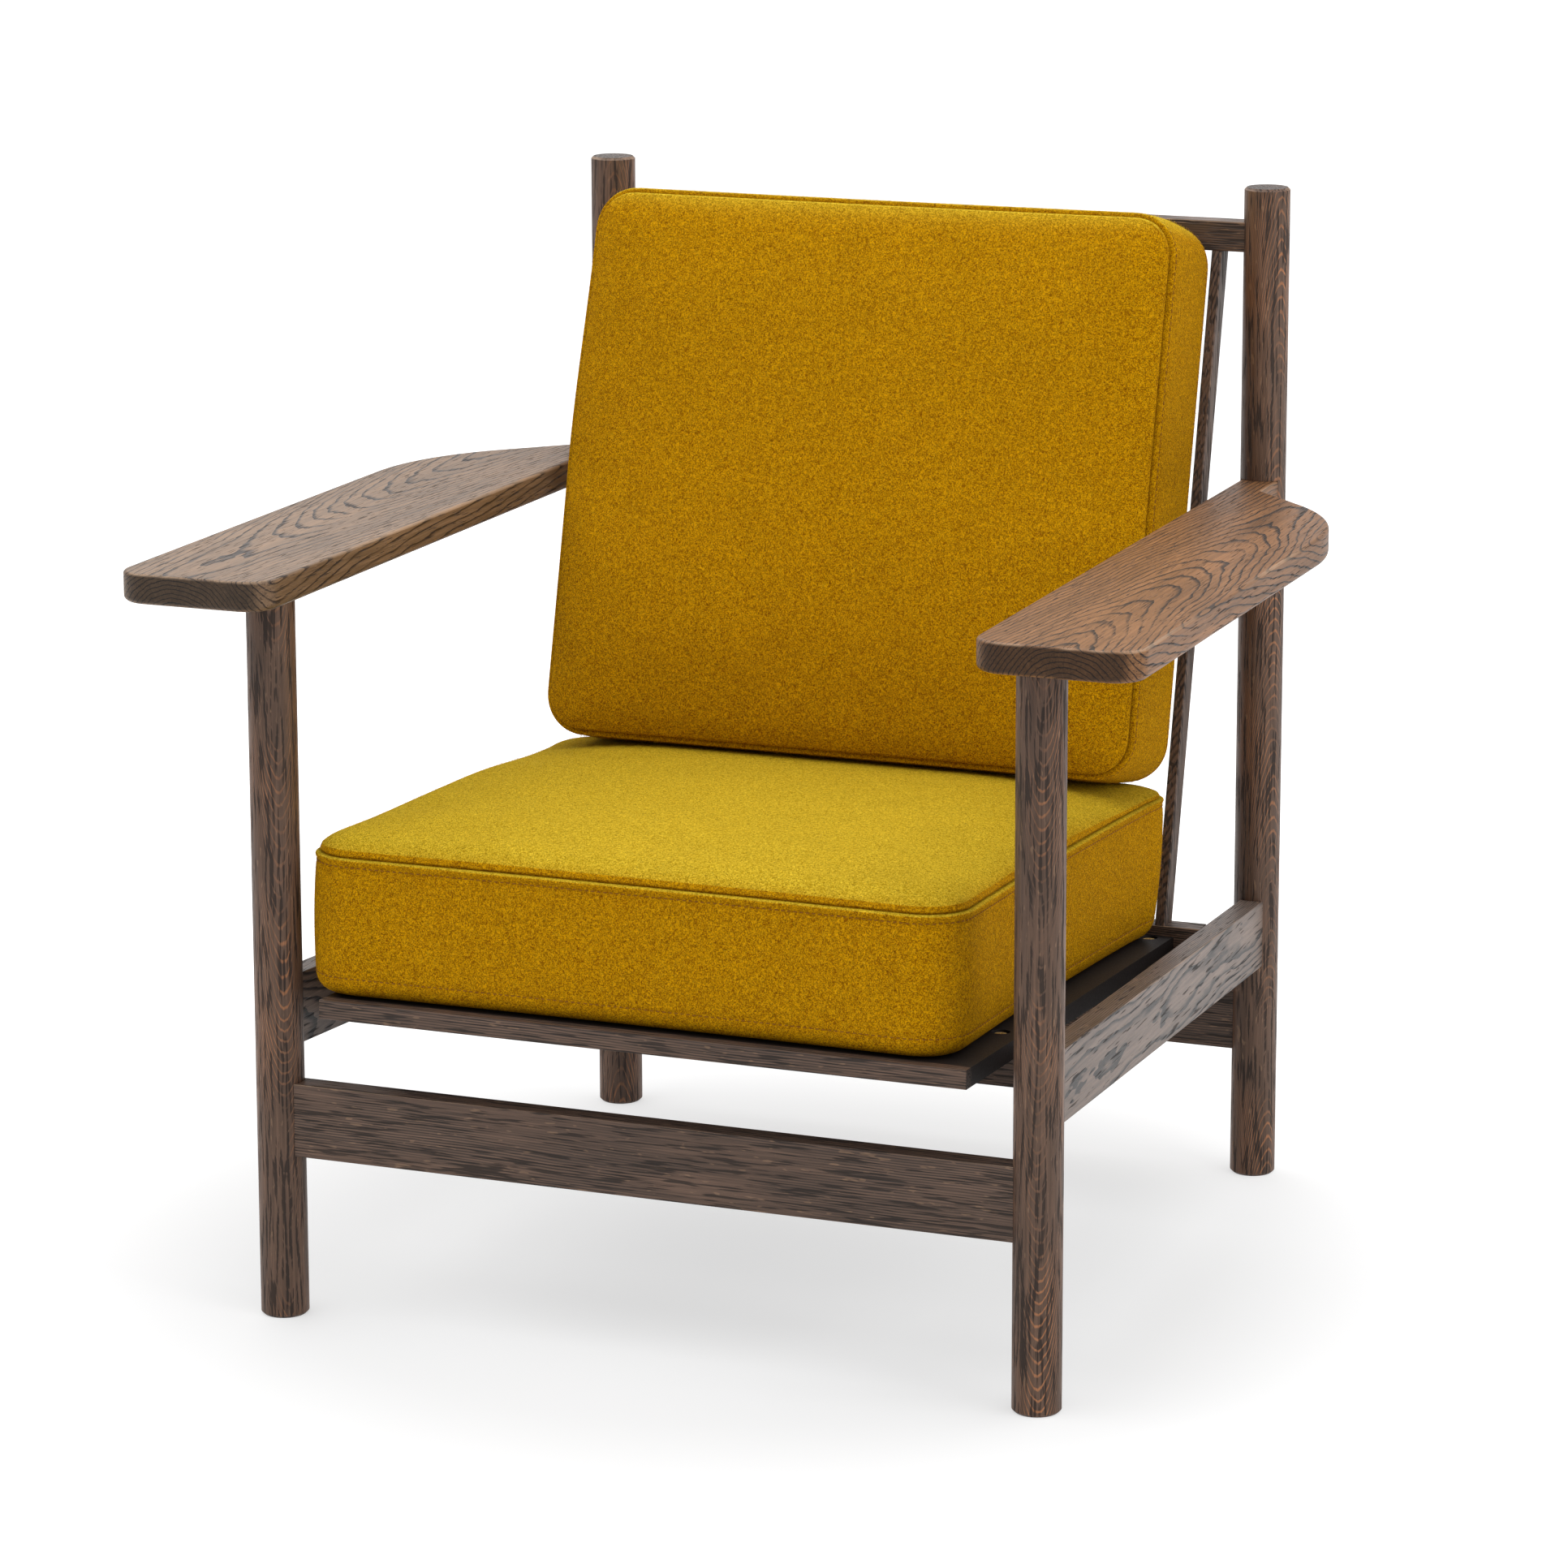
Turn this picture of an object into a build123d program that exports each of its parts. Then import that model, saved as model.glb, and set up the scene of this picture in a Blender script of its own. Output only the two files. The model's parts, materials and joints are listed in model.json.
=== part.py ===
"""Easy chair in smoked oak: round legs, paddle armrests, an open slatted back and two loose cushions.

Frame: millimetres, X to the sitter's left, Y towards the back, Z up, floor at Z = 0.
"""

import os
from math import atan2, cos, radians, sin, sqrt, tan

from build123d import *

# Overall stance
leg_diameter = 38.0
front_leg_spacing = 628.0
rear_post_spacing = 588.0
leg_base_depth = 625.0
post_height = 847.0
foot_chamfer = 2.0
post_top_chamfer = 2.0

# Armrests
arm_height = 603.0
arm_thickness = 24.0
arm_front_overhang = 74.0
arm_outer_reach = 97.0
arm_inner_reach = 32.0
arm_front_corner = 25.0
arm_tail_radius = 185.0
arm_tail_turn = 45.0
arm_tongue_inset = 3.0
arm_tongue_length = 47.0
arm_root_round = 4.0
arm_top_round = 3.0
arm_bottom_round = 5.0
arm_tenon_diameter = 24.0
arm_tenon_length = 15.0
arm_dowel_diameter = 8.0
arm_dowel_length = 32.0
arm_dowel_spacing = 15.0

# Rails between the legs
rail_thickness = 20.0
tenon_thickness = 10.0
tenon_past_axis = 3.0
tenon_shoulder = 8.0
rail_edge_round = 1.0
stretcher_height = 59.0
front_stretcher_bottom = 132.0
rear_stretcher_bottom = 109.0
side_rail_height = 57.0
side_rail_front_top = 274.5
seat_tilt = 3.0

# Seat deck and the members that carry it
deck_side_gap = 22.6
deck_thickness = 15.0
deck_front_overhang = 26.0
deck_drop = 9.0
lipping_depth = 12.0
cross_rail_setback = 102.0
cross_rail_height = 25.0
cross_tenon_shoulder = 4.0
rail_tenon_length = 12.0
ledger_inset = 12.0
screw_edge_inset = 18.0
screw_head_diameter = 9.5
screw_head_height = 3.0
screw_shank_diameter = 4.5
screw_length = 32.0
counterbore_diameter = 15.0
counterbore_depth = 4.5
screw_slot_width = 1.4
screw_slot_length = 5.5
screw_slot_depth = 1.8

# Slatted back
slat_rail_setback = 134.0
slat_rail_height = 57.0
top_rail_height = 25.0
top_rail_below_post = 29.0
top_tenon_shoulder = 4.0
slat_count = 9
slat_width = 9.0
slat_depth = 19.0
slat_end_gap = 21.0
slat_tenon_depth = 9.0
slat_tenon_length = 12.0
slat_edge_chamfer = 1.0

# Loose cushions
felt_thickness = 2.5
seat_cushion_side_gap = 18.6
seat_cushion_shift = -17.0
seat_cushion_thickness = 130.0
seat_cushion_roll = 22.0
seat_cushion_crown = 14.0
seat_cushion_front = 6.0
back_cushion_side_gap = 19.0
back_cushion_shift = -6.5
back_cushion_past_rail = 13.1
back_cushion_thickness = 116.0
back_cushion_roll = 10.0
back_cushion_crown = 16.0
cushion_corner = 42.0
cushion_draw_in = 4.0
cushion_base_round = 14.0
cover_edge_steps = 2
core_edge_steps = 1
quarter_turn = 90.0

# Clearances
joint_gap = 0.1
rest_gap = 0.3
hole_spare = 1.0

# Positions that follow from the sizes above
leg_radius = leg_diameter / 2
overall_depth = arm_front_overhang + leg_base_depth + leg_radius
front_leg_x = front_leg_spacing / 2
rear_post_x = rear_post_spacing / 2
front_leg_y = -overall_depth / 2 + arm_front_overhang
rear_post_y = front_leg_y + leg_base_depth
arm_underside = arm_height - arm_thickness
stretcher_tenon = stretcher_height - 2 * tenon_shoulder
front_stretcher_middle = front_stretcher_bottom + stretcher_height / 2
rear_stretcher_middle = rear_stretcher_bottom + stretcher_height / 2
tilt_slope = tan(radians(seat_tilt))
side_taper = (front_leg_x - rear_post_x) / leg_base_depth


def side_rail_top(y):
    """Height of the side rails' top edge at a place along the seat."""
    return side_rail_front_top - tilt_slope * (y - front_leg_y)


def side_rail_inner(y):
    """Distance of the side rails' inner face from the middle of the chair."""
    return front_leg_x - side_taper * (y - front_leg_y) - rail_thickness / 2 / cos(atan2(side_taper, 1))


def deck_top(y):
    """Height of the seat deck's upper face."""
    return side_rail_top(y) - deck_drop


def deck_underside(y):
    """Height of the seat deck's lower face."""
    return deck_top(y) - deck_thickness / cos(radians(seat_tilt))


# Side rail frame: origin on the front leg axis, X along the rail to the back, Z outwards
rail_run = Vector(rear_post_x - front_leg_x, leg_base_depth, -tilt_slope * leg_base_depth)
rail_outward = Vector(leg_base_depth, front_leg_x - rear_post_x, 0)
rail_middle_z = side_rail_front_top - side_rail_height / 2 / cos(radians(seat_tilt))
side_rail_plane = Plane(
    origin=(front_leg_x, front_leg_y, rail_middle_z), x_dir=rail_run, z_dir=rail_outward
)
side_rail_length = rail_run.length
side_tenon_height = side_rail_height - 2 * tenon_shoulder
side_tenon_length = side_rail_length + 2 * tenon_past_axis
inner_face_plane = side_rail_plane.offset(-rail_thickness / 2 - joint_gap)

# Back frame: the slats lean from the slat rail up to the rail between the posts
slat_rail_y = rear_post_y - slat_rail_setback
slat_rail_front = slat_rail_y - rail_thickness / 2
slat_rail_top = side_rail_top(slat_rail_y)
top_rail_top = post_height - top_rail_below_post
top_rail_bottom = top_rail_top - top_rail_height
top_rail_middle = (top_rail_bottom + top_rail_top) / 2
top_rail_tenon = top_rail_height - 2 * top_tenon_shoulder
back_rise = top_rail_bottom - slat_rail_top
back_lean = atan2(slat_rail_setback, back_rise)
slat_run = Vector(0, sin(back_lean), cos(back_lean))
slat_foot = Vector(0, slat_rail_y, slat_rail_top) - slat_run * slat_tenon_length
slat_plane = Plane(origin=slat_foot, x_dir=(1, 0, 0), z_dir=slat_run)
slat_length = back_rise / cos(back_lean) + 2 * slat_tenon_length
slat_span = 2 * (rear_post_x - leg_radius - slat_end_gap)
slat_pitch = slat_span / (slat_count - 1)
slat_places = [(slat_pitch * n - slat_span / 2, 0) for n in range(slat_count)]
slat_half_depth = slat_depth / 2 / cos(back_lean)
slat_rail_middle = slat_rail_top - slat_rail_height / 2
slat_rail_tenon = slat_rail_height - 2 * tenon_shoulder
slat_tenon_end = side_rail_inner(slat_rail_y) + rail_tenon_length
inner_face_mirror = Plane(
    origin=(-inner_face_plane.origin.X, inner_face_plane.origin.Y, inner_face_plane.origin.Z),
    z_dir=(-rail_outward.X, rail_outward.Y, 0),
)

# Deck frame: origin on the deck's upper face at its front edge, Y along the deck to the back
deck_front_y = front_leg_y - deck_front_overhang
deck_plane = Plane(
    origin=(0, deck_front_y, deck_top(deck_front_y)),
    x_dir=(1, 0, 0),
    z_dir=(0, sin(radians(seat_tilt)), cos(radians(seat_tilt))),
)
deck_width = 2 * (side_rail_inner(slat_rail_front) - deck_side_gap)
deck_depth = (slat_rail_front - rest_gap - deck_front_y) / cos(radians(seat_tilt))
cross_rail_y = front_leg_y + cross_rail_setback
cross_rail_front = cross_rail_y - rail_thickness / 2
cross_rail_back = cross_rail_y + rail_thickness / 2
ledger_front = slat_rail_front - joint_gap - rail_thickness
ledger_back = ledger_front + rail_thickness
ledger_y = ledger_front + rail_thickness / 2
cross_rail_bottom = deck_underside(cross_rail_y) - cross_rail_height
cross_rail_middle = cross_rail_bottom + cross_rail_height / 2
cross_rail_tenon = cross_rail_height - 2 * cross_tenon_shoulder
cross_tenon_end = side_rail_inner(cross_rail_y) + rail_tenon_length
ledger_bottom = deck_underside(ledger_y) - cross_rail_height
screw_x = deck_width / 2 - screw_edge_inset
screw_rows = [
    (cross_rail_y - deck_front_y) / cos(radians(seat_tilt)),
    (ledger_y - deck_front_y) / cos(radians(seat_tilt)),
]
screw_places = [(side * screw_x, row) for row in screw_rows for side in (-1, 1)]
screw_floor = deck_plane.offset(-counterbore_depth)

# Armrest outline, right side as seen from the front
arm_inner_front = front_leg_x - arm_inner_reach
arm_outer = front_leg_x + arm_outer_reach
arm_front_y = front_leg_y - arm_front_overhang
tongue_half = leg_radius - arm_tongue_inset
tongue_inner = rear_post_x - tongue_half
tongue_outer = rear_post_x + tongue_half
notch_depth = (leg_radius**2 - tongue_half**2) ** 0.5
tongue_end = rear_post_y - notch_depth
root_y = tongue_end - arm_tongue_length
tail_turn = radians(arm_tail_turn)
tail_end_x = arm_outer - arm_tail_radius * (1 - cos(tail_turn))
tail_end_y = root_y - (tail_end_x - tongue_outer) / tan(tail_turn)
tail_y = tail_end_y - arm_tail_radius * sin(tail_turn)
dowel_z = arm_underside + arm_thickness / 2
dowel_places = [(-arm_dowel_spacing / 2, 0), (arm_dowel_spacing / 2, 0)]
dowel_plane = Plane(
    origin=(rear_post_x, tongue_end - arm_dowel_length / 2, dowel_z), x_dir=(1, 0, 0), z_dir=(0, 1, 0)
)

# Seat cushion frame: its origin in the middle of the cushion's underside, on the deck
seat_cushion_back = slat_rail_front - rest_gap
seat_cushion_start = deck_front_y + seat_cushion_front
seat_cushion_width = 2 * (side_rail_inner(seat_cushion_back) - seat_cushion_side_gap)
seat_cushion_depth = (seat_cushion_back - seat_cushion_start) / cos(radians(seat_tilt))
seat_centre_y = (seat_cushion_start + seat_cushion_back) / 2
seat_base = Plane(
    origin=(seat_cushion_shift, seat_centre_y, deck_top(seat_centre_y)),
    x_dir=(1, 0, 0),
    z_dir=deck_plane.z_dir,
).offset(rest_gap)

# Both cushions: how far in from the rolled edge the crown starts
crown_inset = cushion_draw_in + cushion_corner * (1 - sqrt(1 / 2))

# Back cushion: places measured up the slats' front from the slat rail
back_foot = Vector(back_cushion_shift, slat_rail_y - slat_half_depth, slat_rail_top)
back_cushion_width = 2 * (tongue_inner - back_cushion_side_gap)
back_cushion_top = back_rise / cos(back_lean) + back_cushion_past_rail
back_cushion_start = (seat_cushion_thickness + seat_cushion_crown - deck_drop) / cos(back_lean)

os.makedirs("parts", exist_ok=True)


def save(piece, name):
    """Label a finished piece and write it out."""
    piece.part.label = name
    export_step(piece.part, "parts/" + name + ".step")


# Front leg: a turned post with a round tenon that enters the armrest
with BuildPart() as front_leg_right:
    with BuildSketch(Plane.XZ.offset(-front_leg_y)):
        with BuildLine():
            Polyline(
                (front_leg_x, 0),
                (front_leg_x + leg_radius - foot_chamfer, 0),
                (front_leg_x + leg_radius, foot_chamfer),
                (front_leg_x + leg_radius, arm_underside),
                (front_leg_x + arm_tenon_diameter / 2, arm_underside),
                (front_leg_x + arm_tenon_diameter / 2, arm_underside + arm_tenon_length),
                (front_leg_x, arm_underside + arm_tenon_length),
                close=True,
            )
        make_face()
    revolve(axis=Axis((front_leg_x, front_leg_y, 0), (0, 0, 1)))
    with BuildSketch(Plane.YZ.offset(front_leg_x + tenon_past_axis + hole_spare)):
        with Locations((front_leg_y, front_stretcher_middle)):
            Rectangle(tenon_thickness + 2 * joint_gap, stretcher_tenon + 2 * joint_gap)
    extrude(amount=-leg_diameter, mode=Mode.SUBTRACT)
    with BuildSketch(side_rail_plane):
        with Locations((side_rail_length / 2, 0)):
            Rectangle(side_tenon_length + 2 * hole_spare, side_tenon_height + 2 * joint_gap)
    extrude(amount=tenon_thickness / 2 + joint_gap, both=True, mode=Mode.SUBTRACT)

# Rear post: runs from the floor past the back, flatted where the armrest's tongue enters
with BuildPart() as rear_post_right:
    with BuildSketch(Plane.XZ.offset(-rear_post_y)):
        with BuildLine():
            Polyline(
                (rear_post_x, 0),
                (rear_post_x + leg_radius - foot_chamfer, 0),
                (rear_post_x + leg_radius, foot_chamfer),
                (rear_post_x + leg_radius, post_height),
                (rear_post_x, post_height),
                close=True,
            )
        make_face()
    revolve(axis=Axis((rear_post_x, rear_post_y, 0), (0, 0, 1)))
    chamfer(rear_post_right.edges().group_by(Axis.Z)[-1], post_top_chamfer)
    with BuildSketch(Plane.XZ.offset(-tongue_end)):
        with Locations((rear_post_x, dowel_z)):
            Rectangle(leg_diameter, arm_thickness + 2 * joint_gap)
    extrude(amount=leg_diameter, mode=Mode.SUBTRACT)
    with BuildSketch(dowel_plane):
        with Locations(*dowel_places):
            Circle(arm_dowel_diameter / 2 + joint_gap)
    extrude(amount=arm_dowel_length + hole_spare, mode=Mode.SUBTRACT)
    with BuildSketch(side_rail_plane):
        with Locations((side_rail_length / 2, 0)):
            Rectangle(side_tenon_length + 2 * hole_spare, side_tenon_height + 2 * joint_gap)
    extrude(amount=tenon_thickness / 2 + joint_gap, both=True, mode=Mode.SUBTRACT)
    with BuildSketch(Plane.YZ.offset(rear_post_x + tenon_past_axis + hole_spare)):
        with Locations((rear_post_y, rear_stretcher_middle)):
            Rectangle(tenon_thickness + 2 * joint_gap, stretcher_tenon + 2 * joint_gap)
        with Locations((rear_post_y, top_rail_middle)):
            Rectangle(tenon_thickness + 2 * joint_gap, top_rail_tenon + 2 * joint_gap)
    extrude(amount=-leg_diameter, mode=Mode.SUBTRACT)

# Armrest: a flat paddle whose outer edge sweeps in to a tongue at the rear post
with BuildPart() as armrest_right:
    with BuildSketch(Plane.XY.offset(arm_underside)) as armrest_outline:
        with BuildLine():
            Polyline(
                (arm_outer, tail_y),
                (arm_outer, arm_front_y),
                (arm_inner_front, arm_front_y),
                (tongue_inner, tongue_end - joint_gap),
                (tongue_outer, tongue_end - joint_gap),
                (tongue_outer, root_y),
                (tail_end_x, tail_end_y),
            )
            RadiusArc((tail_end_x, tail_end_y), (arm_outer, tail_y), arm_tail_radius)
        make_face()
        fillet(armrest_outline.vertices().group_by(Axis.Y)[0], arm_front_corner)
    extrude(amount=arm_thickness)
    root_edge = armrest_right.edges().filter_by(Axis.Z).sort_by_distance((tongue_outer, root_y, dowel_z))[0]
    fillet(root_edge, arm_root_round)
    top_rim = armrest_right.faces().sort_by(Axis.Z)[-1].edges().sort_by(Axis.Y)[:-1]
    fillet(top_rim, arm_top_round)
    bottom_rim = armrest_right.faces().sort_by(Axis.Z)[0].edges().sort_by(Axis.Y)[:-1]
    fillet(bottom_rim, arm_bottom_round)
    with BuildSketch(Plane.XY.offset(arm_underside)):
        with Locations((front_leg_x, front_leg_y)):
            Circle(arm_tenon_diameter / 2 + joint_gap)
    extrude(amount=arm_tenon_length + hole_spare, mode=Mode.SUBTRACT)
    with BuildSketch(dowel_plane.offset(-hole_spare)):
        with Locations(*dowel_places):
            Circle(arm_dowel_diameter / 2 + joint_gap)
    extrude(amount=arm_dowel_length, mode=Mode.SUBTRACT)

# Dowels that pin each tongue to its post
with BuildPart() as armrest_dowels:
    with BuildSketch(dowel_plane):
        with Locations(*dowel_places):
            Circle(arm_dowel_diameter / 2)
    extrude(amount=arm_dowel_length)
    mirror(about=Plane.YZ)

# Side rail: tilted to the back, narrowing with the frame, coped to the round legs and tenoned
with BuildPart() as side_rail_right:
    with BuildSketch(side_rail_plane):
        with Locations((side_rail_length / 2, 0)):
            Rectangle(side_rail_length, side_rail_height)
    extrude(amount=rail_thickness / 2, both=True)
    fillet(side_rail_right.edges().filter_by(Axis((0, 0, 0), rail_run)), rail_edge_round)
    with BuildSketch(Plane.XY):
        with Locations((front_leg_x, front_leg_y), (rear_post_x, rear_post_y)):
            Circle(leg_radius + joint_gap)
    extrude(amount=post_height, mode=Mode.SUBTRACT)
    with BuildSketch(side_rail_plane):
        with Locations((side_rail_length / 2, 0)):
            Rectangle(side_tenon_length, side_tenon_height)
    extrude(amount=tenon_thickness / 2, both=True)
    with BuildSketch(Plane.YZ.offset(slat_tenon_end + hole_spare)):
        with Locations((slat_rail_y, slat_rail_middle)):
            Rectangle(tenon_thickness + 2 * joint_gap, slat_rail_tenon + 2 * joint_gap)
    extrude(amount=-rail_thickness, mode=Mode.SUBTRACT)
    with BuildSketch(Plane.YZ.offset(cross_tenon_end + hole_spare)):
        with Locations((cross_rail_y, cross_rail_middle)):
            Rectangle(tenon_thickness + 2 * joint_gap, cross_rail_tenon + 2 * joint_gap)
    extrude(amount=-rail_thickness, mode=Mode.SUBTRACT)

# Left-hand frame pieces mirror the right-hand ones
with BuildPart() as front_leg_left:
    mirror(front_leg_right.part, about=Plane.YZ)
with BuildPart() as rear_post_left:
    mirror(rear_post_right.part, about=Plane.YZ)
with BuildPart() as armrest_left:
    mirror(armrest_right.part, about=Plane.YZ)
with BuildPart() as side_rail_left:
    mirror(side_rail_right.part, about=Plane.YZ)

# Front stretcher, low between the front legs
with BuildPart() as front_stretcher:
    with BuildSketch(Plane.YZ):
        with Locations((front_leg_y, front_stretcher_middle)):
            RectangleRounded(rail_thickness, stretcher_height, rail_edge_round)
    extrude(amount=front_leg_x, both=True)
    with BuildSketch(Plane.XY):
        with Locations((front_leg_x, front_leg_y), (-front_leg_x, front_leg_y)):
            Circle(leg_radius + joint_gap)
    extrude(amount=post_height, mode=Mode.SUBTRACT)
    with BuildSketch(Plane.YZ):
        with Locations((front_leg_y, front_stretcher_middle)):
            Rectangle(tenon_thickness, stretcher_tenon)
    extrude(amount=front_leg_x + tenon_past_axis, both=True)

# Rear stretcher, low between the rear posts
with BuildPart() as rear_stretcher:
    with BuildSketch(Plane.YZ):
        with Locations((rear_post_y, rear_stretcher_middle)):
            RectangleRounded(rail_thickness, stretcher_height, rail_edge_round)
    extrude(amount=rear_post_x, both=True)
    with BuildSketch(Plane.XY):
        with Locations((rear_post_x, rear_post_y), (-rear_post_x, rear_post_y)):
            Circle(leg_radius + joint_gap)
    extrude(amount=post_height, mode=Mode.SUBTRACT)
    with BuildSketch(Plane.YZ):
        with Locations((rear_post_y, rear_stretcher_middle)):
            Rectangle(tenon_thickness, stretcher_tenon)
    extrude(amount=rear_post_x + tenon_past_axis, both=True)

# Top rail of the back, tenoned into the posts and mortised below for the slats
with BuildPart() as back_top_rail:
    with BuildSketch(Plane.YZ):
        with Locations((rear_post_y, top_rail_middle)):
            RectangleRounded(rail_thickness, top_rail_height, rail_edge_round)
    extrude(amount=rear_post_x, both=True)
    with BuildSketch(Plane.XY):
        with Locations((rear_post_x, rear_post_y), (-rear_post_x, rear_post_y)):
            Circle(leg_radius + joint_gap)
    extrude(amount=post_height, mode=Mode.SUBTRACT)
    with BuildSketch(Plane.YZ):
        with Locations((rear_post_y, top_rail_middle)):
            Rectangle(tenon_thickness, top_rail_tenon)
    extrude(amount=rear_post_x + tenon_past_axis, both=True)
    with BuildSketch(slat_plane):
        with Locations(*slat_places):
            Rectangle(slat_width + 2 * joint_gap, slat_tenon_depth + 2 * joint_gap)
    extrude(amount=slat_length + joint_gap, mode=Mode.SUBTRACT)

# Slat rail: carries the feet of the slats and stops the deck, tenoned into the side rails
with BuildPart() as slat_rail:
    with BuildSketch(Plane.YZ):
        with Locations((slat_rail_y, slat_rail_middle)):
            RectangleRounded(rail_thickness, slat_rail_height, rail_edge_round)
    extrude(amount=front_leg_x, both=True)
    split(bisect_by=inner_face_plane, keep=Keep.BOTTOM)
    split(bisect_by=inner_face_mirror, keep=Keep.BOTTOM)
    with BuildSketch(Plane.YZ):
        with Locations((slat_rail_y, slat_rail_middle)):
            Rectangle(tenon_thickness, slat_rail_tenon)
    extrude(amount=slat_tenon_end, both=True)
    with BuildSketch(slat_plane.offset(-joint_gap)):
        with Locations(*slat_places):
            Rectangle(slat_width + 2 * joint_gap, slat_tenon_depth + 2 * joint_gap)
    extrude(amount=slat_tenon_length + slat_depth, mode=Mode.SUBTRACT)

# Cross rail under the front of the deck, its top bevelled to the deck
with BuildPart() as front_cross_rail:
    with BuildSketch(Plane.YZ):
        with BuildLine():
            Polyline(
                (cross_rail_front, cross_rail_bottom),
                (cross_rail_back, cross_rail_bottom),
                (cross_rail_back, deck_underside(cross_rail_back) - joint_gap),
                (cross_rail_front, deck_underside(cross_rail_front) - joint_gap),
                close=True,
            )
        make_face()
    extrude(amount=front_leg_x, both=True)
    split(bisect_by=inner_face_plane, keep=Keep.BOTTOM)
    split(bisect_by=inner_face_mirror, keep=Keep.BOTTOM)
    with BuildSketch(Plane.YZ):
        with Locations((cross_rail_y, cross_rail_middle)):
            Rectangle(tenon_thickness, cross_rail_tenon)
    extrude(amount=cross_tenon_end, both=True)
    with BuildSketch(screw_floor):
        with Locations(*screw_places):
            Circle(screw_shank_diameter / 2 + joint_gap)
    extrude(amount=-screw_length - joint_gap, mode=Mode.SUBTRACT)

# Ledger glued to the slat rail, under the back edge of the deck
with BuildPart() as deck_ledger:
    with BuildSketch(Plane.YZ):
        with BuildLine():
            Polyline(
                (ledger_front, ledger_bottom),
                (ledger_back, ledger_bottom),
                (ledger_back, deck_underside(ledger_back) - joint_gap),
                (ledger_front, deck_underside(ledger_front) - joint_gap),
                close=True,
            )
        make_face()
    extrude(amount=side_rail_inner(ledger_back) - ledger_inset, both=True)
    with BuildSketch(screw_floor):
        with Locations(*screw_places):
            Circle(screw_shank_diameter / 2 + joint_gap)
    extrude(amount=-screw_length - joint_gap, mode=Mode.SUBTRACT)

# Seat deck: a dark board with counterbored screw holes
with BuildPart() as seat_deck:
    with BuildSketch(deck_plane):
        with Locations((0, (deck_depth + lipping_depth + joint_gap) / 2)):
            Rectangle(deck_width, deck_depth - lipping_depth - joint_gap)
    extrude(amount=-deck_thickness)
    with BuildSketch(deck_plane):
        with Locations(*screw_places):
            Circle(counterbore_diameter / 2)
    extrude(amount=-counterbore_depth, mode=Mode.SUBTRACT)
    with BuildSketch(deck_plane):
        with Locations(*screw_places):
            Circle(screw_shank_diameter / 2 + joint_gap)
    extrude(amount=-deck_thickness, mode=Mode.SUBTRACT)

# Oak lipping along the deck's front edge
with BuildPart() as deck_lipping:
    with BuildSketch(deck_plane):
        with Locations((0, lipping_depth / 2)):
            Rectangle(deck_width, lipping_depth)
    extrude(amount=-deck_thickness)
    fillet(deck_lipping.edges().filter_by(Axis.X).group_by(Axis.Y)[0], rail_edge_round)

# Cross-recessed screws that hold the deck down
with BuildPart() as deck_screws:
    with BuildSketch(screw_floor):
        with Locations(*screw_places):
            Circle(screw_head_diameter / 2)
    extrude(amount=screw_head_height)
    with BuildSketch(screw_floor.offset(screw_head_height)):
        with Locations(*screw_places):
            Rectangle(screw_slot_length, screw_slot_width)
            Rectangle(screw_slot_width, screw_slot_length)
    extrude(amount=-screw_slot_depth, mode=Mode.SUBTRACT)
    with BuildSketch(screw_floor):
        with Locations(*screw_places):
            Circle(screw_shank_diameter / 2)
    extrude(amount=-screw_length)

# Back slats: narrow edge to the sitter, cut level at both ends, with a stub tenon each way
slats = []
for place in slat_places:
    with BuildPart() as slat:
        with BuildSketch(Plane.YZ.offset(place[0])):
            with BuildLine():
                Polyline(
                    (slat_rail_y - slat_half_depth, slat_rail_top + joint_gap),
                    (slat_rail_y + slat_half_depth, slat_rail_top + joint_gap),
                    (rear_post_y + slat_half_depth, top_rail_bottom - joint_gap),
                    (rear_post_y - slat_half_depth, top_rail_bottom - joint_gap),
                    close=True,
                )
            make_face()
        extrude(amount=slat_width / 2, both=True)
        long_edges = slat.edges().filter_by(Axis.X, reverse=True).filter_by(Axis.Y, reverse=True)
        chamfer(long_edges, slat_edge_chamfer)
        with BuildSketch(slat_plane):
            with Locations(place):
                Rectangle(slat_width, slat_tenon_depth)
        extrude(amount=slat_length)
    slats.append(slat)


def cushion_crown(base, half_width, half_depth, crown):
    """A crown that rises from four level edges: two arched bodies cut to what they share."""
    across = Plane(origin=base.origin, x_dir=base.x_dir, z_dir=-base.y_dir)
    along = Plane(origin=base.origin, x_dir=base.y_dir, z_dir=base.x_dir)
    with BuildPart() as dome:
        with BuildSketch(across):
            with BuildLine():
                ThreePointArc((half_width, 0), (0, crown), (-half_width, 0))
                Line((-half_width, 0), (half_width, 0))
            make_face()
        extrude(amount=half_depth, both=True)
        with BuildSketch(along):
            with BuildLine():
                ThreePointArc((half_depth, 0), (0, crown), (-half_depth, 0))
                Line((-half_depth, 0), (half_depth, 0))
            make_face()
        extrude(amount=half_width, both=True, mode=Mode.INTERSECT)
    return dome.part


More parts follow.
